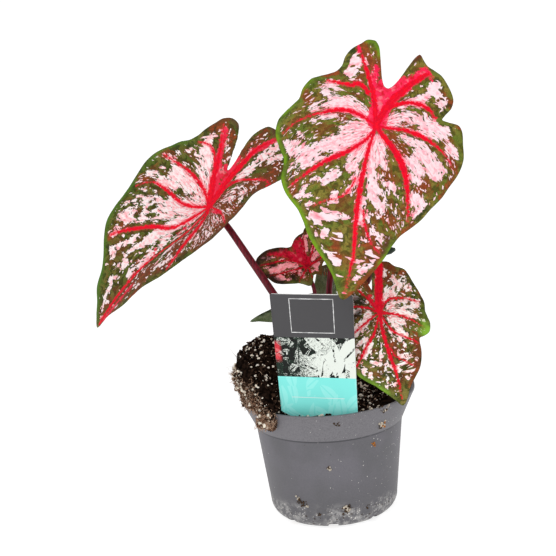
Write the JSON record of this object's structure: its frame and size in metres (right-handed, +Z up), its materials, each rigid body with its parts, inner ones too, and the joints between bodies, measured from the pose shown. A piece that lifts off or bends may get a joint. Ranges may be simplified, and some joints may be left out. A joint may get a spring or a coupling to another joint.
{
  "type": "potted caladium",
  "caption": "Young caladium in a tapered nursery pot, with heart-shaped leaves on thin stalks, a heap of potting mix and an upright plant label.",
  "frame": {"origin": "centre of the underside of the pot's base", "axes": "+Z up, -Y towards the plant's front, where the label stands, and +X to the viewer's right"},
  "size_m": [0.2526, 0.1332, 0.3226],
  "materials": {
    "pot_plastic": "grey recycled plastic with a dull sheen and lime marks",
    "potting_mix": "loose damp peat and coir with pale perlite",
    "tuber_skin": "brown papery skin",
    "label_card": "printed plastic card, satin",
    "variegated_blade": "soft satin leaf, pink blotches on olive green",
    "red_veins": "satin red veins",
    "green_blade": "satin green leaf",
    "petiole_skin": "smooth dark red stalk"
  },
  "bodies": {
    "root": {"pot": "pot_plastic", "potting_mix": "potting_mix", "tuber": "tuber_skin", "label": "label_card", "front_leaf_blade": "variegated_blade", "front_leaf_veins": "red_veins", "front_petiole": "petiole_skin", "left_leaf_blade": "variegated_blade", "left_leaf_veins": "red_veins", "left_petiole": "petiole_skin", "low_leaf_blade": "variegated_blade", "low_leaf_veins": "red_veins", "low_petiole": "petiole_skin", "back_leaf_blade": "variegated_blade", "back_leaf_veins": "red_veins", "back_petiole": "petiole_skin", "green_leaf_blade": "green_blade", "green_petiole": "petiole_skin", "new_leaf_stem": "petiole_skin", "new_leaf_roll": "green_blade"}
  },
  "joints": []
}
